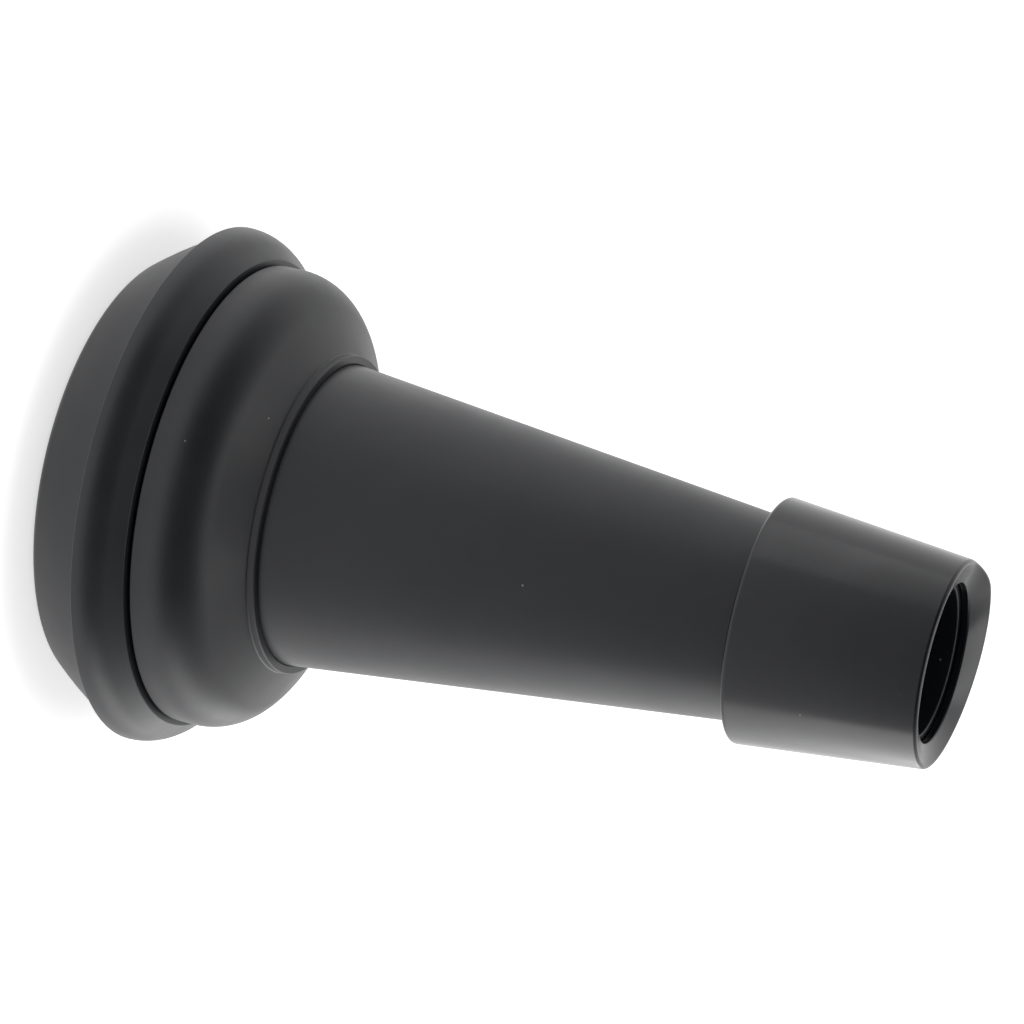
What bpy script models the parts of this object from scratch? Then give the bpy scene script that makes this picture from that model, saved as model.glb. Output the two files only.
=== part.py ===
"""A trumpet practice mute: a hollow cone with a bulb head, standing on the flat of its end cap.

Metres, +Z up along the mute's axis, origin at the middle of the end cap's flat face. The narrow open
tip, which goes into the trumpet's bell, points up. Every piece is turned about the Z axis.
"""

import math

import bpy

MM = 0.001

# Overall sizes
MUTE_LENGTH = 118.1 * MM
RIM_RADIUS = 36.0 * MM

# Fits: the gap between two pieces that seat on each other, and how finely the round stretches are cut
FIT_GAP = 0.3 * MM
TURN_STEPS = 48
SMALL_TURN_STEPS = 24
ARC_STEP = math.radians(16)

# End cap: a flat end plate, a sloping flank and a skirt that pushes over the shoulder's spigot
CAP_DEPTH = 9.5 * MM
CAP_PLATE = 2.2 * MM
CAP_FLANK_WALL = 2.0 * MM
CAP_FLANK_ANGLE = math.radians(33)
CAP_EDGE_FILLET = 1.6 * MM
CAP_STEP = 0.9 * MM
SKIRT_WALL = 1.8 * MM

# Rim ring: sharp at the rear, rounded over its crest, then sloping to the seam
RIM_WIDTH = 6.0 * MM
RIM_LAND = 0.3 * MM
RIM_CREST_FILLET = 5.5 * MM
RIM_FRONT_ANGLE = math.radians(45)
RIM_EDGE_FILLET = 0.25 * MM
RIM_FRONT_FACE = 1.2 * MM

# Seam between the ring and the shoulder, and the joint inside it
SEAM_GAP = 0.5 * MM
SPIGOT_LENGTH = 8.5 * MM
SPIGOT_WALL = 2.5 * MM
CAP_SEAL_SECTION = 1.2 * MM
CAP_SEAL_DEPTH = 4.0 * MM
CAP_SEAL_SIDES = 8

# Shoulder shell: a short cylinder, a rounded edge, a sloping face and a collar round the cone
SHOULDER_STEP = 0.68 * MM
SHOULDER_LAND = 2.45 * MM
SHOULDER_WALL = 2.0 * MM
SHOULDER_FILLET = 7.6 * MM
SHOULDER_FACE_ANGLE = math.radians(62)
COLLAR_WALL = 0.9 * MM
COLLAR_HEIGHT = 1.1 * MM
SEAT_DEPTH = 3.2 * MM

# Cone body
CONE_FOOT_RADIUS = 20.95 * MM
CONE_TAPER = 0.1146
CONE_WALL = 1.2 * MM
FLANGE_WIDTH = 3.5 * MM
FLANGE_THICKNESS = 1.5 * MM

# Bell seal: a tapered rubber sleeve that stands past the cone's end and turns in over it
SEAL_LENGTH = 25.7 * MM
SEAL_REAR_WALL = 2.58 * MM
SEAL_TIP_WALL = 2.78 * MM
SEAL_EDGE_FILLET = 0.5 * MM
SEAL_MOUTH_DEPTH = 1.0 * MM
SEAL_LIP = 0.9 * MM
SEAL_LIP_REACH = 0.43 * MM

# Vent tube and the boss that holds it
VENT_LENGTH = 32.0 * MM
VENT_RADIUS = 2.25 * MM
VENT_BORE_RADIUS = 1.25 * MM
VENT_FLANGE_RADIUS = 4.0 * MM
VENT_FLANGE = 1.0 * MM
VENT_RECESS = 0.2 * MM
BOSS_WALL = 2.9 * MM
BOSS_HEIGHT = 4.8 * MM

# Foam damper
FOAM_THICKNESS = 5.0 * MM

# Heights and radii that follow from the sizes above
RIM_REAR = CAP_DEPTH
RIM_FRONT = RIM_REAR + RIM_WIDTH
RIM_CREST_CORNER = RIM_REAR + RIM_LAND + RIM_CREST_FILLET * math.tan(RIM_FRONT_ANGLE / 2)
RIM_FRONT_RADIUS = RIM_RADIUS - (RIM_FRONT - RIM_CREST_CORNER) * math.tan(RIM_FRONT_ANGLE)
RIM_BORE = RIM_FRONT_RADIUS - RIM_FRONT_FACE
SKIRT_RADIUS = RIM_BORE - FIT_GAP
SKIRT_BORE = SKIRT_RADIUS - SKIRT_WALL
SKIRT_TOP = RIM_FRONT - FIT_GAP
SPIGOT_RADIUS = SKIRT_BORE - FIT_GAP
SPIGOT_BORE = SPIGOT_RADIUS - SPIGOT_WALL
SHOULDER_REAR = RIM_FRONT + SEAM_GAP
SPIGOT_BOTTOM = SHOULDER_REAR - SPIGOT_LENGTH
SHOULDER_RADIUS = RIM_FRONT_RADIUS - SHOULDER_STEP
COLLAR_RADIUS = CONE_FOOT_RADIUS + FIT_GAP + COLLAR_WALL
SHOULDER_CORNER = SHOULDER_REAR + SHOULDER_LAND + SHOULDER_FILLET * math.tan(SHOULDER_FACE_ANGLE / 2)
COLLAR_FOOT = SHOULDER_CORNER + (SHOULDER_RADIUS - COLLAR_RADIUS) / math.tan(SHOULDER_FACE_ANGLE)
COLLAR_TOP = COLLAR_FOOT + COLLAR_HEIGHT
SEAT_HEIGHT = COLLAR_FOOT - SEAT_DEPTH
FLANGE_TOP = SEAT_HEIGHT - FIT_GAP
FLANGE_BOTTOM = FLANGE_TOP - FLANGE_THICKNESS
SEAL_REAR = MUTE_LENGTH - SEAL_LENGTH
SEAL_MOUTH = MUTE_LENGTH - SEAL_MOUTH_DEPTH
CONE_TOP = SEAL_MOUTH - SEAL_LIP - FIT_GAP
CAP_SEAL_HEIGHT = SHOULDER_REAR - CAP_SEAL_DEPTH
VENT_HOLE = VENT_RADIUS + FIT_GAP
BOSS_RADIUS = VENT_HOLE + BOSS_WALL
BOSS_TOP = CAP_PLATE + BOSS_HEIGHT

COLLECTION_NAME = "practice_mute"


def cone_radius(height):
    """Outer radius of the cone at a height, by its taper from the top of the collar."""
    return CONE_FOOT_RADIUS - CONE_TAPER * (height - COLLAR_TOP)


def flank_radius(height):
    """Outer radius of the end cap's sloping flank at a height."""
    return RIM_RADIUS - CAP_STEP - (RIM_REAR - height) * math.tan(CAP_FLANK_ANGLE)


def shoulder_face_height(radius):
    """Height of the shoulder's sloping face at a radius."""
    return COLLAR_FOOT - (radius - COLLAR_RADIUS) / math.tan(SHOULDER_FACE_ANGLE)


def rounded(corners):
    """Points of an outline of (radius, height, fillet) corners, with each fillet as a true arc."""
    points = []
    count = len(corners)
    for i, (radius, height, fillet) in enumerate(corners):
        if fillet == 0:
            points.append((radius, height))
            continue
        before = corners[i - 1]
        after = corners[(i + 1) % count]
        start = math.atan2(before[1] - height, before[0] - radius)
        end = math.atan2(after[1] - height, after[0] - radius)
        inside = (end - start + math.pi) % (2 * math.pi) - math.pi
        middle = start + inside / 2
        reach = fillet / math.sin(abs(inside) / 2)
        centre = (radius + reach * math.cos(middle), height + reach * math.sin(middle))
        turn = math.pi - abs(inside)
        steps = max(2, math.ceil(turn / ARC_STEP))
        first = middle + math.pi + math.copysign(turn / 2, inside)
        for step in range(steps + 1):
            angle = first - math.copysign(turn, inside) * step / steps
            points.append((centre[0] + fillet * math.cos(angle), centre[1] + fillet * math.sin(angle)))
    return points


def clear_scene():
    for obj in list(bpy.data.objects):
        bpy.data.objects.remove(obj)


def make_material(name, colour, roughness, metallic=0.0):
    material = bpy.data.materials.new(name)
    material.use_nodes = True
    shader = material.node_tree.nodes["Principled BSDF"]
    shader.inputs["Base Color"].default_value = (*colour, 1.0)
    shader.inputs["Roughness"].default_value = roughness
    shader.inputs["Metallic"].default_value = metallic
    return material


def turned(name, corners, material, height=0.0, steps=TURN_STEPS):
    """A piece turned about Z from its outline, which runs down its outer side and back up its bore.

    The corners' heights are the mute's own. The object's origin is on the axis at the given height.
    """
    points = [(radius, 0.0, z - height) for radius, z in rounded(corners)]
    edges = [(i, (i + 1) % len(points)) for i in range(len(points))]
    mesh = bpy.data.meshes.new(name)
    mesh.from_pydata(points, edges, [])
    obj = bpy.data.objects.new(name, mesh)
    obj.location.z = height
    bpy.data.collections[COLLECTION_NAME].objects.link(obj)
    screw = obj.modifiers.new("Turn", "SCREW")
    screw.axis = "Z"
    screw.angle = 2 * math.pi
    screw.steps = steps
    screw.render_steps = steps
    screw.use_merge_vertices = True
    screw.merge_threshold = 0.01 * MM
    screw.use_smooth_shade = True
    mesh.materials.append(material)
    return obj


def end_cap(material):
    """Flat end plate with the vent's boss, the sloping flank, the ring's ledge and the skirt."""
    ledge = RIM_REAR - FIT_GAP
    recess_top = VENT_RECESS + VENT_FLANGE + FIT_GAP
    recess_radius = VENT_FLANGE_RADIUS + FIT_GAP
    wall_across = CAP_FLANK_WALL / math.cos(CAP_FLANK_ANGLE)
    inner_corner = flank_radius(CAP_PLATE) - wall_across
    skirt_foot = RIM_REAR - (flank_radius(RIM_REAR) - wall_across - SKIRT_BORE) / math.tan(CAP_FLANK_ANGLE)
    return turned(
        "end_cap",
        [
            (SKIRT_RADIUS, SKIRT_TOP, 0),
            (SKIRT_RADIUS, ledge, 0),
            (flank_radius(ledge), ledge, 0),
            (flank_radius(0), 0, CAP_EDGE_FILLET),
            (recess_radius, 0, 0),
            (recess_radius, recess_top, 0),
            (VENT_HOLE, recess_top, 0),
            (VENT_HOLE, BOSS_TOP, 0),
            (BOSS_RADIUS, BOSS_TOP, 0),
            (BOSS_RADIUS, CAP_PLATE, 0),
            (inner_corner, CAP_PLATE, 0),
            (SKIRT_BORE, skirt_foot, 0),
            (SKIRT_BORE, SKIRT_TOP, 0),
        ],
        material,
    )


def rim_ring(material):
    """The widest ring, which sits on the cap's skirt against its ledge."""
    return turned(
        "rim_ring",
        [
            (RIM_FRONT_RADIUS, RIM_FRONT, RIM_EDGE_FILLET),
            (RIM_RADIUS, RIM_CREST_CORNER, RIM_CREST_FILLET),
            (RIM_RADIUS, RIM_REAR, RIM_EDGE_FILLET),
            (RIM_BORE, RIM_REAR, 0),
            (RIM_BORE, RIM_FRONT, 0),
        ],
        material,
        height=RIM_REAR,
    )


def cap_seal_ring(material):
    """The round-section ring in the spigot's groove."""
    half = CAP_SEAL_SECTION / 2
    corners = []
    for side in range(CAP_SEAL_SIDES):
        angle = math.pi / 2 - 2 * math.pi * side / CAP_SEAL_SIDES
        radius = SPIGOT_RADIUS - half + half * math.cos(angle)
        corners.append((radius, CAP_SEAL_HEIGHT + half * math.sin(angle), 0))
    return turned("cap_seal_ring", corners, material, height=CAP_SEAL_HEIGHT)


def shoulder_shell(material):
    """The head's front half: collar, sloping face, rounded edge, and the grooved spigot behind the seam."""
    inner_radius = SHOULDER_RADIUS - SHOULDER_WALL
    wall_along = SHOULDER_WALL / math.sin(SHOULDER_FACE_ANGLE)
    recess_radius = cone_radius(FLANGE_TOP) + FLANGE_WIDTH + FIT_GAP
    groove_half = CAP_SEAL_SECTION / 2 + FIT_GAP
    groove_radius = SPIGOT_RADIUS - CAP_SEAL_SECTION - FIT_GAP
    return turned(
        "shoulder_shell",
        [
            (COLLAR_RADIUS, COLLAR_TOP, 0),
            (COLLAR_RADIUS, COLLAR_FOOT, 0),
            (SHOULDER_RADIUS, shoulder_face_height(SHOULDER_RADIUS), SHOULDER_FILLET),
            (SHOULDER_RADIUS, SHOULDER_REAR, 0),
            (SPIGOT_RADIUS, SHOULDER_REAR, 0),
            (SPIGOT_RADIUS, CAP_SEAL_HEIGHT + groove_half, 0),
            (groove_radius, CAP_SEAL_HEIGHT + groove_half, 0),
            (groove_radius, CAP_SEAL_HEIGHT - groove_half, 0),
            (SPIGOT_RADIUS, CAP_SEAL_HEIGHT - groove_half, 0),
            (SPIGOT_RADIUS, SPIGOT_BOTTOM, 0),
            (SPIGOT_BORE, SPIGOT_BOTTOM, 0),
            (SPIGOT_BORE, SHOULDER_REAR + SHOULDER_WALL, 0),
            (inner_radius, SHOULDER_REAR + SHOULDER_WALL, 0),
            (inner_radius, shoulder_face_height(inner_radius) - wall_along, SHOULDER_FILLET - SHOULDER_WALL),
            (recess_radius, shoulder_face_height(recess_radius) - wall_along, 0),
            (recess_radius, SEAT_HEIGHT, 0),
            (cone_radius(SEAT_HEIGHT) + FIT_GAP, SEAT_HEIGHT, 0),
            (cone_radius(COLLAR_TOP) + FIT_GAP, COLLAR_TOP, 0),
        ],
        material,
        height=SHOULDER_REAR,
    )


def cone_body(material):
    """The tapering tube, with the flange that seats inside the shoulder's collar."""
    flange_radius = cone_radius(FLANGE_TOP) + FLANGE_WIDTH
    return turned(
        "cone_body",
        [
            (cone_radius(CONE_TOP), CONE_TOP, 0),
            (cone_radius(FLANGE_TOP), FLANGE_TOP, 0),
            (flange_radius, FLANGE_TOP, 0),
            (flange_radius, FLANGE_BOTTOM, 0),
            (cone_radius(FLANGE_BOTTOM) - CONE_WALL, FLANGE_BOTTOM, 0),
            (cone_radius(CONE_TOP) - CONE_WALL, CONE_TOP, 0),
        ],
        material,
        height=COLLAR_TOP,
    )


def bell_seal(material):
    """The rubber sleeve, with a dished end whose lip turns in over the cone's end."""
    lip_under = SEAL_MOUTH - SEAL_LIP
    mouth_radius = cone_radius(CONE_TOP) - SEAL_LIP_REACH
    return turned(
        "bell_seal",
        [
            (cone_radius(MUTE_LENGTH) + FIT_GAP + SEAL_TIP_WALL, MUTE_LENGTH, SEAL_EDGE_FILLET),
            (cone_radius(SEAL_REAR) + FIT_GAP + SEAL_REAR_WALL, SEAL_REAR, SEAL_EDGE_FILLET),
            (cone_radius(SEAL_REAR) + FIT_GAP, SEAL_REAR, 0),
            (cone_radius(lip_under) + FIT_GAP, lip_under, 0),
            (mouth_radius, lip_under, 0),
            (mouth_radius, SEAL_MOUTH, 0),
        ],
        material,
        height=SEAL_REAR,
    )


def vent_tube(material):
    """The thin tube through the end cap, with a flange let into the end face."""
    flange_top = VENT_RECESS + VENT_FLANGE
    return turned(
        "vent_tube",
        [
            (VENT_RADIUS, VENT_RECESS + VENT_LENGTH, 0),
            (VENT_RADIUS, flange_top, 0),
            (VENT_FLANGE_RADIUS, flange_top, 0),
            (VENT_FLANGE_RADIUS, VENT_RECESS, 0),
            (VENT_BORE_RADIUS, VENT_RECESS, 0),
            (VENT_BORE_RADIUS, VENT_RECESS + VENT_LENGTH, 0),
        ],
        material,
        height=VENT_RECESS,
        steps=SMALL_TURN_STEPS,
    )


def foam_damper(material):
    """The soft pad on the inside of the end plate, round the vent's boss and inside the spigot."""
    bottom = CAP_PLATE + FIT_GAP
    top = bottom + FOAM_THICKNESS
    outer = SPIGOT_BORE - FIT_GAP
    inner = BOSS_RADIUS + FIT_GAP
    return turned(
        "foam_damper",
        [(outer, top, 0), (outer, bottom, 0), (inner, bottom, 0), (inner, top, 0)],
        material,
        height=bottom,
    )


def parent_to(name, height, pieces):
    """Puts pieces that move together under an empty on the axis, and leaves them where they are."""
    empty = bpy.data.objects.new(name, None)
    empty.location.z = height
    bpy.data.collections[COLLECTION_NAME].objects.link(empty)
    for piece in pieces:
        piece.parent = empty
        piece.location.z -= height


def build():
    clear_scene()
    collection = bpy.data.collections.new(COLLECTION_NAME)
    bpy.context.scene.collection.children.link(collection)

    shell_plastic = make_material("shell_plastic", (0.030, 0.031, 0.034), 0.48)
    ring_plastic = make_material("ring_plastic", (0.030, 0.031, 0.033), 0.50)
    cap_plastic = make_material("cap_plastic", (0.031, 0.032, 0.034), 0.48)
    cone_plastic = make_material("cone_plastic", (0.029, 0.030, 0.033), 0.46)
    seal_rubber = make_material("seal_rubber", (0.022, 0.023, 0.026), 0.32)
    ring_rubber = make_material("ring_rubber", (0.018, 0.018, 0.018), 0.55)
    tube_metal = make_material("tube_metal", (0.78, 0.78, 0.78), 0.30, metallic=1.0)
    foam = make_material("foam", (0.060, 0.060, 0.062), 0.95)

    cap = [end_cap(cap_plastic), rim_ring(ring_plastic), vent_tube(tube_metal), foam_damper(foam)]
    body = [shoulder_shell(shell_plastic), cone_body(cone_plastic), cap_seal_ring(ring_rubber)]
    sleeve = [bell_seal(seal_rubber)]
    parent_to("cap_pull", SPIGOT_BOTTOM, cap)
    parent_to("mute_body", SHOULDER_REAR, body)
    parent_to("seal_pull", SEAL_REAR, sleeve)


build()
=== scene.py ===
"""Looks for the practice mute: fine turned surfaces, moulded plastic and rubber, soft studio light.

Metres, +Z along the mute's axis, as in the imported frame. Sizes below are in millimetres, times MM.
"""

import math

import bpy
from mathutils import Matrix, Vector


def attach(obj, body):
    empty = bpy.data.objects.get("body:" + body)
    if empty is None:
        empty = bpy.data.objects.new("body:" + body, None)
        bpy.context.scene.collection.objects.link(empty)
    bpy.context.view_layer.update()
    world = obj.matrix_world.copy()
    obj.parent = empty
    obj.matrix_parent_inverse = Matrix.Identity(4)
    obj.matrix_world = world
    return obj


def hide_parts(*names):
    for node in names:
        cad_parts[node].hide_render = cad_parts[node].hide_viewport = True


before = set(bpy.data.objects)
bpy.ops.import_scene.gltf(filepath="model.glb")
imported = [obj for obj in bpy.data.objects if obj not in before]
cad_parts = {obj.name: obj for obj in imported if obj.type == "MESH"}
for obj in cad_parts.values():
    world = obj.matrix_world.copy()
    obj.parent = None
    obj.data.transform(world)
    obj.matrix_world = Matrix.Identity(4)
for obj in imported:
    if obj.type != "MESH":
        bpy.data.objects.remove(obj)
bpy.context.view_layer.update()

MM = 0.001

# Mesh fineness
SEGMENTS = 240
ARC_STEP = math.radians(5)
RUN_STEP = 2.0
EDGE_SUPPORT = 0.12

# Tight visual seam between pieces that seat on each other
SEAM = 0.05

# The mute's own sizes, as in the model
LENGTH = 118.1
RIM_RADIUS = 36.0
RIM_REAR = 9.5
RIM_FRONT = 15.5
RIM_FRONT_RADIUS = 32.578
RIM_CREST_CORNER = 12.078
SKIRT_RADIUS = 31.078
SKIRT_BORE = 29.278
SKIRT_TOP = 15.2
SPIGOT_RADIUS = 28.978
SPIGOT_BORE = 26.478
SPIGOT_BOTTOM = 7.5
SHOULDER_REAR = 16.0
SHOULDER_RADIUS = 31.898
SHOULDER_FILLET = 7.6
SHOULDER_WALL = 2.0
FACE_ANGLE = math.radians(62)
COLLAR_FOOT = 28.2
COLLAR_TOP = 29.3
COLLAR_RADIUS = 22.15
SEAT_HEIGHT = 25.0
FLANGE_TOP = 24.7
FLANGE_BOTTOM = 23.2
FLANGE_WIDTH = 3.5
CONE_FOOT_RADIUS = 20.95
CONE_TAPER = 0.1146
CONE_WALL = 1.2
CONE_TOP = 115.9
SEAL_REAR = 92.4
SEAL_MOUTH = 117.1
SEAL_LIP = 0.9
SEAL_REAR_WALL = 2.58
SEAL_TIP_WALL = 2.78
MOUTH_RADIUS = 10.596
FIT_GAP = 0.3
CAP_PLATE = 2.2
FLANK_ANGLE = math.radians(33)
FLANK_WALL = 2.0
CAP_STEP = 0.9
RING_SECTION = 1.2
RING_HEIGHT = 12.0
VENT_LENGTH = 32.0
VENT_RADIUS = 2.25
VENT_BORE = 1.25
VENT_FLANGE_RADIUS = 4.0
VENT_FLANGE = 1.0
VENT_RECESS = 0.2
BOSS_RADIUS = 5.45
BOSS_TOP = 7.0
FOAM_TOP = 7.5

# Where the drawn shape leaves the model's: the cap's fuller flank and edge, and the rubber's untrue end
FLANK_SWELL = 0.32
CAP_EDGE_SHIFT = 0.25
CAP_EDGE_FILLET = 2.6
END_STAND = 1.25
END_LOW_ANGLE = 10
END_HIGH_ANGLE = 144
END_FALL = 34
FOAM_CLEARANCE = 0.12

# The photograph's camera, fitted to the outline. The focal length is in widths of the image
IMAGE_SIZE = 1024
SENSOR_WIDTH = 36.0
FOCAL = 3975.05 / IMAGE_SIZE
AXIS_RISE = math.radians(18.741)
ROLL = math.radians(103.22)
ANCHOR_HEIGHT = 11.51 * MM
ANCHOR_PIXEL = (207.698, 487.345)
ANCHOR_DEPTH = 545.5 * MM

# Studio: plain light on surfaces, how dark reflections get towards the camera, and the floor's own white
AMBIENT = (0.55, 0.55, 0.56, 1.0)
DARK_SIDE = 0.06
FLOOR_LIFT = 0.62
FLOOR_HALF = 6.0
FLOOR_DROP = 0.2 * MM
WHITE = (1, 1, 1, 1)


def cone_radius(height):
    return CONE_FOOT_RADIUS - CONE_TAPER * (height - COLLAR_TOP)


def flank_radius(height):
    return RIM_RADIUS - CAP_STEP - (RIM_REAR - height) * math.tan(FLANK_ANGLE)


def face_height(radius):
    return COLLAR_FOOT - (radius - COLLAR_RADIUS) / math.tan(FACE_ANGLE)


def rounded(corners):
    """Outline points of (radius, height, fillet) corners.

    Arcs are finely cut, and straight runs are split, with a support point close to each end.
    """
    arcs = []
    count = len(corners)
    for i, (radius, height, fillet) in enumerate(corners):
        if fillet == 0:
            arcs.append([(radius, height)])
            continue
        before = corners[i - 1]
        after = corners[(i + 1) % count]
        start = math.atan2(before[1] - height, before[0] - radius)
        end = math.atan2(after[1] - height, after[0] - radius)
        inside = (end - start + math.pi) % (2 * math.pi) - math.pi
        middle = start + inside / 2
        reach = fillet / math.sin(abs(inside) / 2)
        cx, cy = radius + reach * math.cos(middle), height + reach * math.sin(middle)
        turn = math.pi - abs(inside)
        steps = max(3, math.ceil(turn / ARC_STEP))
        first = middle + math.pi + math.copysign(turn / 2, inside)
        arc = []
        for step in range(steps + 1):
            angle = first - math.copysign(turn, inside) * step / steps
            arc.append((cx + fillet * math.cos(angle), cy + fillet * math.sin(angle)))
        arcs.append(arc)
    points = []
    for i, arc in enumerate(arcs):
        points += arc
        (r0, z0), (r1, z1) = arc[-1], arcs[(i + 1) % count][0]
        run = math.hypot(r1 - r0, z1 - z0)
        if run < 3 * EDGE_SUPPORT:
            continue
        cuts = [EDGE_SUPPORT / run]
        inner = max(1, round(run / RUN_STEP))
        cuts += [k / inner for k in range(1, inner) if EDGE_SUPPORT < k / inner * run < run - EDGE_SUPPORT]
        cuts.append(1 - EDGE_SUPPORT / run)
        points += [(r0 + (r1 - r0) * t, z0 + (z1 - z0) * t) for t in cuts]
    return points


def turned(name, corners, material, body, node, segments=SEGMENTS, shape=None):
    """A finely turned piece that rides on a body and stands for its CAD node."""
    outline = rounded(corners)
    rows = len(outline)
    points = []
    for k in range(segments):
        angle = 2 * math.pi * k / segments
        cosine, sine = math.cos(angle), math.sin(angle)
        for radius, height in outline:
            if shape:
                radius, height = shape(radius, height, angle)
            points.append((radius * cosine * MM, radius * sine * MM, height * MM))
    faces = []
    for k in range(segments):
        a, b = k * rows, (k + 1) % segments * rows
        for j in range(rows):
            n = (j + 1) % rows
            faces.append((a + j, b + j, b + n, a + n))
    mesh = bpy.data.meshes.new(name)
    mesh.from_pydata(points, [], faces)
    mesh.flip_normals()
    mesh.shade_smooth()
    mesh.materials.append(material)
    piece = bpy.data.objects.new(name, mesh)
    bpy.context.scene.collection.objects.link(piece)
    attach(piece, body)
    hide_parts(node)
    return piece


class Nodes:
    """A short way to add and join nodes in one tree."""

    def __init__(self, tree):
        self.tree = tree

    def add(self, kind, inputs=None, **settings):
        node = self.tree.nodes.new(kind)
        for key, value in settings.items():
            setattr(node, key, value)
        for key, value in (inputs or {}).items():
            if isinstance(value, bpy.types.NodeSocket):
                self.tree.links.new(value, node.inputs[key])
            else:
                node.inputs[key].default_value = value
        return node

    def maths(self, operation, first, second=0.0, clamp=False):
        node = self.add("ShaderNodeMath", {0: first, 1: second}, operation=operation, use_clamp=clamp)
        return node.outputs[0]

    def noise(self, place, scale, detail=2.0, roughness=0.5):
        return self.add(
            "ShaderNodeTexNoise",
            {"Vector": place, "Scale": scale, "Detail": detail, "Roughness": roughness},
        ).outputs["Fac"]

    def ramp(self, value, low, high, to_low=0.0, to_high=1.0):
        return self.add(
            "ShaderNodeMapRange",
            {"Value": value, "From Min": low, "From Max": high, "To Min": to_low, "To Max": to_high},
        ).outputs["Result"]

    def mix(self, factor, first, second):
        node = self.add("ShaderNodeMix", data_type="RGBA")
        for key, value in ((0, factor), (6, first), (7, second)):
            if isinstance(value, bpy.types.NodeSocket):
                self.tree.links.new(value, node.inputs[key])
            else:
                node.inputs[key].default_value = value
        return node.outputs[2]


DUST = 0.90
SMEARS = 0.04


def new_material(name):
    material = bpy.data.materials.new(name)
    material.use_nodes = True
    nodes = Nodes(material.node_tree)
    shader = material.node_tree.nodes["Principled BSDF"]
    place = nodes.add("ShaderNodeTexCoord").outputs["Object"]
    return material, nodes, shader, place


def moulded(name, colour, roughness, specular=0.5, grain=0.10, grain_size=0.16, scuffs=0.05):
    """Moulded plastic or rubber: fine grain, slow unevenness, smears, faint scuffs and sparse dust.

    A cell of the dust pattern holds a speck where its random value is over DUST.
    """
    material, nodes, shader, place = new_material(name)
    link = material.node_tree.links.new
    fine = nodes.noise(place, 1 / (grain_size * MM), 3.0, 0.6)
    slow = nodes.noise(place, 1 / (9 * MM), 2.0)
    smear = nodes.noise(place, 1 / (17 * MM), 4.0, 0.65)
    stretched = nodes.add("ShaderNodeMapping", {"Vector": place, "Scale": (1.0, 1.0, 0.12)}).outputs[0]
    scratch = nodes.noise(stretched, 1 / (0.5 * MM), 2.0, 0.4)
    scratch = nodes.maths("MULTIPLY", nodes.ramp(scratch, 0.66, 0.80), nodes.ramp(smear, 0.50, 0.70))

    specks = nodes.add("ShaderNodeTexVoronoi", {"Vector": place, "Scale": 1 / (2.7 * MM)})
    pick = nodes.add("ShaderNodeSeparateColor", {"Color": specks.outputs["Color"]})
    chosen = nodes.maths("GREATER_THAN", pick.outputs[0], DUST)
    size = nodes.ramp(pick.outputs[1], 0.0, 1.0, 0.022, 0.060)
    speck = nodes.maths("MULTIPLY", chosen, nodes.maths("LESS_THAN", specks.outputs["Distance"], size))

    dark = tuple(c * 0.86 for c in colour) + (1.0,)
    light = tuple(min(1.0, c * 1.16) for c in colour) + (1.0,)
    shade = nodes.mix(nodes.ramp(slow, 0.3, 0.7), dark, light)
    shade = nodes.mix(nodes.maths("MULTIPLY", nodes.ramp(fine, 0.35, 0.65), 0.25), shade, light)
    pale = tuple(c + 0.020 for c in colour) + (1.0,)
    shade = nodes.mix(nodes.maths("MULTIPLY", scratch, scuffs * 8, clamp=True), shade, pale)
    shade = nodes.mix(nodes.maths("MULTIPLY", speck, 0.75), shade, (0.32, 0.32, 0.31, 1.0))
    link(shade, shader.inputs["Base Color"])

    rough = nodes.ramp(smear, 0.3, 0.7, roughness - SMEARS, roughness + SMEARS)
    rough = nodes.maths("ADD", rough, nodes.maths("MULTIPLY", nodes.ramp(fine, 0.3, 0.7), 0.04))
    rough = nodes.maths("ADD", rough, nodes.maths("MULTIPLY", speck, 0.3), clamp=True)
    link(rough, shader.inputs["Roughness"])
    shader.inputs["Specular IOR Level"].default_value = specular

    swell = nodes.add("ShaderNodeBump", {"Height": slow, "Strength": 0.25, "Distance": 0.05 * MM})
    micro = nodes.add(
        "ShaderNodeBump",
        {"Height": fine, "Strength": grain, "Distance": 0.05 * MM, "Normal": swell.outputs[0]},
    )
    bits = nodes.add(
        "ShaderNodeBump",
        {"Height": speck, "Strength": 0.3, "Distance": 0.05 * MM, "Normal": micro.outputs[0]},
    )
    link(bits.outputs[0], shader.inputs["Normal"])
    return material


def drawn_metal():
    """Drawn aluminium tube: fine lines along its length and a few dull patches."""
    material, nodes, shader, place = new_material("tube_metal_look")
    link = material.node_tree.links.new
    along = nodes.add("ShaderNodeMapping", {"Vector": place, "Scale": (1.0, 1.0, 0.03)}).outputs[0]
    lines = nodes.noise(along, 1 / (0.12 * MM), 3.0)
    patch = nodes.noise(place, 1 / (3 * MM), 3.0)
    link(nodes.mix(patch, (0.70, 0.70, 0.71, 1), (0.82, 0.82, 0.82, 1)), shader.inputs["Base Color"])
    link(nodes.ramp(nodes.maths("ADD", lines, patch), 0.6, 1.4, 0.22, 0.42), shader.inputs["Roughness"])
    shader.inputs["Metallic"].default_value = 1.0
    bump = nodes.add("ShaderNodeBump", {"Height": lines, "Strength": 0.15, "Distance": 0.02 * MM})
    link(bump.outputs[0], shader.inputs["Normal"])
    return material


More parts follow.
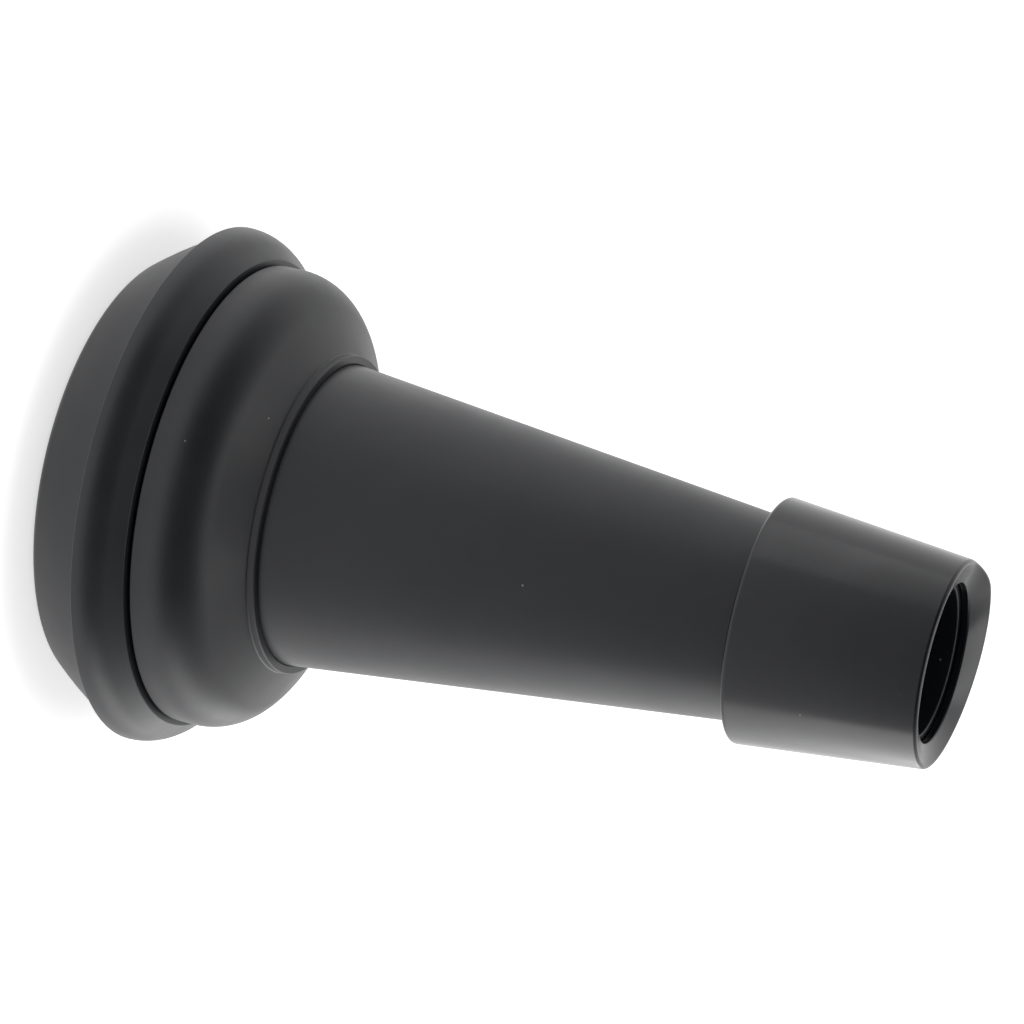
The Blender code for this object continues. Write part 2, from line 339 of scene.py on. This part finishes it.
def open_foam():
    """Open-cell foam: cells of about 0.6 mm, with painted shade that darkens each cell towards its hollow
    middle.
    """
    material, nodes, shader, place = new_material("foam_look")
    link = material.node_tree.links.new
    cells = nodes.add("ShaderNodeTexVoronoi", {"Vector": place, "Scale": 1 / (0.65 * MM)}).outputs["Distance"]
    uneven = nodes.noise(place, 1 / (4 * MM), 3.0)
    # This ramp is the cells' height for the bump and also paints shade: the colour darkens towards each
    # cell's middle, where the hollow lies.
    hollow = nodes.ramp(cells, 0.15, 0.55)
    shade = nodes.mix(hollow, (0.020, 0.020, 0.021, 1), (0.085, 0.085, 0.088, 1))
    shade = nodes.mix(nodes.maths("MULTIPLY", uneven, 0.35), shade, (0.050, 0.050, 0.050, 1))
    link(shade, shader.inputs["Base Color"])
    link(nodes.ramp(uneven, 0.2, 0.8, 0.88, 1.0), shader.inputs["Roughness"])
    bump = nodes.add("ShaderNodeBump", {"Height": hollow, "Strength": 0.9, "Distance": 0.3 * MM})
    link(bump.outputs[0], shader.inputs["Normal"])
    return material


def build_pieces():
    cap_look = moulded("cap_plastic_look", (0.0125, 0.0136, 0.0165), 0.40)
    ring_look = moulded("ring_plastic_look", (0.0155, 0.0168, 0.0198), 0.39)
    shell_look = moulded("shell_plastic_look", (0.0115, 0.0125, 0.0152), 0.40)
    cone_look = moulded("cone_plastic_look", (0.0085, 0.0096, 0.0125), 0.38)
    seal_look = moulded(
        "seal_rubber_look", (0.0065, 0.0074, 0.0098), 0.20, grain=0.04, grain_size=0.3, scuffs=0.09
    )
    ring_rubber_look = moulded("ring_rubber_look", (0.012, 0.012, 0.012), 0.5, specular=0.4)
    metal_look = drawn_metal()
    foam_look = open_foam()

    recess = VENT_FLANGE_RADIUS + SEAM
    recess_top = VENT_RECESS + VENT_FLANGE + SEAM
    across = FLANK_WALL / math.cos(FLANK_ANGLE)
    ledge = RIM_REAR - SEAM
    skirt_foot = RIM_REAR - (flank_radius(RIM_REAR) - across - SKIRT_BORE) / math.tan(FLANK_ANGLE)

    def crowned(radius, height, angle):
        """The cap's flank swells a little between its edge and the ring."""
        if height < ledge and radius > flank_radius(height) - 1.0:
            radius += FLANK_SWELL * math.sin(math.pi * height / ledge)
        return radius, height

    turned(
        "end_cap_visual",
        [
            (SKIRT_RADIUS, SKIRT_TOP, 0.15),
            (SKIRT_RADIUS, ledge, 0),
            (flank_radius(ledge), ledge, 0.2),
            (flank_radius(0) + CAP_EDGE_SHIFT, 0, CAP_EDGE_FILLET),
            (recess, 0, 0.15),
            (recess, recess_top, 0),
            (VENT_RADIUS + SEAM, recess_top, 0),
            (VENT_RADIUS + SEAM, BOSS_TOP, 0.1),
            (BOSS_RADIUS, BOSS_TOP, 0.3),
            (BOSS_RADIUS, CAP_PLATE, 0),
            (flank_radius(CAP_PLATE) - across, CAP_PLATE, 0.8),
            (SKIRT_BORE, skirt_foot, 0.6),
            (SKIRT_BORE, SKIRT_TOP, 0.3),
        ],
        cap_look, "cap", "end_cap", shape=crowned,
    )
    turned(
        "rim_ring_visual",
        [
            (RIM_FRONT_RADIUS, RIM_FRONT, 0.25),
            (RIM_RADIUS, RIM_CREST_CORNER, 5.5),
            (RIM_RADIUS, RIM_REAR, 0.22),
            (SKIRT_RADIUS + SEAM, RIM_REAR, 0),
            (SKIRT_RADIUS + SEAM, RIM_FRONT, 0.15),
        ],
        ring_look, "cap", "rim_ring",
    )
    inner = SHOULDER_RADIUS - SHOULDER_WALL
    wall_along = SHOULDER_WALL / math.sin(FACE_ANGLE)
    hollow = cone_radius(FLANGE_TOP) + FLANGE_WIDTH + FIT_GAP
    groove = SPIGOT_RADIUS - RING_SECTION - FIT_GAP
    half = RING_SECTION / 2 + FIT_GAP
    turned(
        "shoulder_shell_visual",
        [
            (COLLAR_RADIUS, COLLAR_TOP, 0.18),
            (COLLAR_RADIUS, COLLAR_FOOT, 0.30),
            (SHOULDER_RADIUS, face_height(SHOULDER_RADIUS), SHOULDER_FILLET),
            (SHOULDER_RADIUS, SHOULDER_REAR, 0.2),
            (SPIGOT_RADIUS, SHOULDER_REAR, 0.1),
            (SPIGOT_RADIUS, RING_HEIGHT + half, 0.1),
            (groove, RING_HEIGHT + half, 0),
            (groove, RING_HEIGHT - half, 0),
            (SPIGOT_RADIUS, RING_HEIGHT - half, 0.1),
            (SPIGOT_RADIUS, SPIGOT_BOTTOM, 0.5),
            (SPIGOT_BORE, SPIGOT_BOTTOM, 0.3),
            (SPIGOT_BORE, SHOULDER_REAR + SHOULDER_WALL, 0.3),
            (inner, SHOULDER_REAR + SHOULDER_WALL, 0),
            (inner, face_height(inner) - wall_along, 5.6),
            (hollow, face_height(hollow) - wall_along, 0),
            (hollow, SEAT_HEIGHT, 0),
            (cone_radius(SEAT_HEIGHT) + SEAM, SEAT_HEIGHT, 0),
            (cone_radius(COLLAR_TOP) + SEAM, COLLAR_TOP, 0.08),
        ],
        shell_look, "mute_body", "shoulder_shell",
    )
    turned(
        "cone_body_visual",
        [
            (cone_radius(CONE_TOP), CONE_TOP, 0.2),
            (cone_radius(FLANGE_TOP), FLANGE_TOP, 0),
            (cone_radius(FLANGE_TOP) + FLANGE_WIDTH, FLANGE_TOP, 0),
            (cone_radius(FLANGE_TOP) + FLANGE_WIDTH, FLANGE_BOTTOM, 0.2),
            (cone_radius(FLANGE_BOTTOM) - CONE_WALL, FLANGE_BOTTOM, 0.5),
            (cone_radius(CONE_TOP) - CONE_WALL, CONE_TOP, 0.2),
        ],
        cone_look, "mute_body", "cone_body",
    )
    under = SEAL_MOUTH - SEAL_LIP

    def untrue(radius, height, angle):
        """The rubber's end isn't cut true: its outer edge stands longer on the far side of the photograph."""
        degrees = math.degrees(angle)
        if degrees < END_HIGH_ANGLE:
            rise = max(0.0, degrees - END_LOW_ANGLE) / (END_HIGH_ANGLE - END_LOW_ANGLE)
            stand = 0.5 - 0.5 * math.cos(math.pi * rise)
        else:
            stand = 0.5 + 0.5 * math.cos(math.pi * min(1.0, (degrees - END_HIGH_ANGLE) / END_FALL))
        ease = min(1.0, max(0.0, (height - LENGTH + 6) / 5))
        across = min(1.0, max(0.0, (radius - MOUTH_RADIUS) / 2.6))
        return radius, height + END_STAND * stand * ease * across

    turned(
        "bell_seal_visual",
        [
            (cone_radius(LENGTH) + FIT_GAP + SEAL_TIP_WALL, LENGTH - 0.02, 0.5),
            (cone_radius(SEAL_REAR) + FIT_GAP + SEAL_REAR_WALL, SEAL_REAR, 0.5),
            (cone_radius(SEAL_REAR) + SEAM, SEAL_REAR, 0.1),
            (cone_radius(under) + SEAM, under, 0),
            (MOUTH_RADIUS, under, 0.1),
            (MOUTH_RADIUS, SEAL_MOUTH, 0.25),
        ],
        seal_look, "seal", "bell_seal", shape=untrue,
    )
    ring_centre = SPIGOT_RADIUS - RING_SECTION / 2
    side = RING_SECTION / 2
    turned(
        "cap_seal_ring_visual",
        [
            (ring_centre + side, RING_HEIGHT + side, 0.58),
            (ring_centre + side, RING_HEIGHT - side, 0.58),
            (ring_centre - side, RING_HEIGHT - side, 0.58),
            (ring_centre - side, RING_HEIGHT + side, 0.58),
        ],
        ring_rubber_look, "mute_body", "cap_seal_ring",
    )
    flange_top = VENT_RECESS + VENT_FLANGE
    turned(
        "vent_tube_visual",
        [
            (VENT_RADIUS, VENT_RECESS + VENT_LENGTH, 0.2),
            (VENT_RADIUS, flange_top, 0),
            (VENT_FLANGE_RADIUS, flange_top, 0.1),
            (VENT_FLANGE_RADIUS, VENT_RECESS, 0.25),
            (VENT_BORE, VENT_RECESS, 0.25),
            (VENT_BORE, VENT_RECESS + VENT_LENGTH, 0.15),
        ],
        metal_look, "cap", "vent_tube", segments=96,
    )

    def crumbly(radius, height, angle):
        """The cut foam's edges and faces wander a little."""
        wander = 0.10 * math.sin(5 * angle + 0.9 * height) + 0.06 * math.sin(13 * angle + radius)
        if height > FOAM_TOP - 0.6:
            height += 0.6 * wander - 0.12
        if radius > SPIGOT_BORE - 1.5:
            radius += 0.5 * wander - 0.1
        return radius, height

    foam = turned(
        "foam_damper_visual",
        [
            (SPIGOT_BORE - FOAM_CLEARANCE, FOAM_TOP - 0.02, 0.9),
            (SPIGOT_BORE - FOAM_CLEARANCE, CAP_PLATE + 0.1, 0.4),
            (BOSS_RADIUS + 0.1, CAP_PLATE + 0.1, 0.2),
            (BOSS_RADIUS + 0.1, FOAM_TOP - 0.02, 0.7),
        ],
        foam_look, "cap", "foam_damper", shape=crumbly,
    )


def photo_camera():
    """The camera of the photograph, from the fit of the mute's outline."""
    level = Vector((1, 0, 0))
    rise = Vector((0, math.sin(AXIS_RISE), math.cos(AXIS_RISE)))
    back = Vector((0, -math.cos(AXIS_RISE), math.sin(AXIS_RISE)))
    right = level * math.cos(ROLL) + rise * math.sin(ROLL)
    up = level * -math.sin(ROLL) + rise * math.cos(ROLL)
    anchor_x = (ANCHOR_PIXEL[0] - IMAGE_SIZE / 2) / IMAGE_SIZE / FOCAL * ANCHOR_DEPTH
    anchor_y = -(ANCHOR_PIXEL[1] - IMAGE_SIZE / 2) / IMAGE_SIZE / FOCAL * ANCHOR_DEPTH
    place = Vector((0, 0, ANCHOR_HEIGHT)) - (right * anchor_x + up * anchor_y - back * ANCHOR_DEPTH)
    data = bpy.data.cameras.new("photo_camera")
    data.sensor_width = SENSOR_WIDTH
    data.lens = SENSOR_WIDTH * FOCAL
    data.clip_start = 0.01
    data.clip_end = 50.0
    camera = bpy.data.objects.new("photo_camera", data)
    turn = Matrix((right, up, back)).transposed().to_4x4()
    camera.matrix_world = Matrix.Translation(place) @ turn
    bpy.context.scene.collection.objects.link(camera)
    bpy.context.scene.camera = camera
    return right, up, back


def area_lamp(name, place, aim, size, power):
    data = bpy.data.lights.new(name, "AREA")
    data.shape = "RECTANGLE"
    data.size, data.size_y = size
    data.energy = power
    lamp = bpy.data.objects.new(name, data)
    lamp.location = place
    lamp.rotation_euler = (Vector(aim) - Vector(place)).to_track_quat("-Z", "Y").to_euler()
    bpy.context.scene.collection.objects.link(lamp)


def studio(right, up, back):
    """White surroundings with a darker side towards the photographer, soft lamps and a pale floor."""
    world = bpy.data.worlds.new("studio")
    bpy.context.scene.world = world
    world.use_nodes = True
    nodes = Nodes(world.node_tree)
    nodes.tree.nodes.clear()
    rays = nodes.add("ShaderNodeLightPath")
    way = nodes.add("ShaderNodeTexCoord").outputs["Generated"]
    towards = nodes.add("ShaderNodeVectorMath", operation="DOT_PRODUCT")
    nodes.tree.links.new(way, towards.inputs[0])
    towards.inputs[1].default_value = back
    room = nodes.ramp(towards.outputs["Value"], -0.45, 0.55, 1.0, DARK_SIDE)
    grey = nodes.add("ShaderNodeCombineColor", {0: room, 1: room, 2: room})
    glossy = nodes.mix(rays.outputs["Is Glossy Ray"], WHITE, grey.outputs[0])
    seen = nodes.maths("MAXIMUM", rays.outputs["Is Camera Ray"], rays.outputs["Is Glossy Ray"])
    seen = nodes.maths("MAXIMUM", seen, rays.outputs["Is Transmission Ray"])
    colour = nodes.mix(seen, AMBIENT, glossy)
    background = nodes.add("ShaderNodeBackground", {"Color": colour, "Strength": 1.0})
    output = nodes.add("ShaderNodeOutputWorld")
    nodes.tree.links.new(background.outputs[0], output.inputs["Surface"])

    middle = Vector((0, 0, 0.055))
    area_lamp("key", middle + up * 0.55 - back * 0.42, middle, (0.9, 0.34), 4.2)
    area_lamp("rim", middle - up * 0.60 - back * 0.30, middle, (0.9, 0.30), 1.7)
    area_lamp("top", middle + up * 0.70 + back * 0.10, middle, (0.6, 0.25), 0.5)
    area_lamp("overhead", (0.0, 0.15, 0.95), middle, (0.7, 0.7), 2.4)

    floor_mesh = bpy.data.meshes.new("floor")
    corners = [(x * FLOOR_HALF, y * FLOOR_HALF, 0) for x, y in ((-1, -1), (1, -1), (1, 1), (-1, 1))]
    floor_mesh.from_pydata(corners, [], [(0, 1, 2, 3)])
    floor = bpy.data.objects.new("floor", floor_mesh)
    floor.location.z = -FLOOR_DROP
    bpy.context.scene.collection.objects.link(floor)
    material, nodes, shader, place = new_material("floor_look")
    link = material.node_tree.links.new
    mottle = nodes.noise(place, 6.0, 2.0)
    link(nodes.mix(mottle, (0.80, 0.80, 0.80, 1), (0.84, 0.84, 0.84, 1)), shader.inputs["Base Color"])
    shader.inputs["Roughness"].default_value = 0.9
    shader.inputs["Specular IOR Level"].default_value = 0.1
    rays = nodes.add("ShaderNodeLightPath")
    lift = nodes.maths("MAXIMUM", rays.outputs["Is Camera Ray"], rays.outputs["Is Glossy Ray"])
    lift = nodes.maths("MAXIMUM", lift, rays.outputs["Is Transmission Ray"])
    link(nodes.maths("MULTIPLY", lift, FLOOR_LIFT), shader.inputs["Emission Strength"])
    shader.inputs["Emission Color"].default_value = WHITE
    floor_mesh.materials.append(material)


right, up, back = photo_camera()
build_pieces()
studio(right, up, back)
bpy.context.scene.view_settings.view_transform = "Standard"
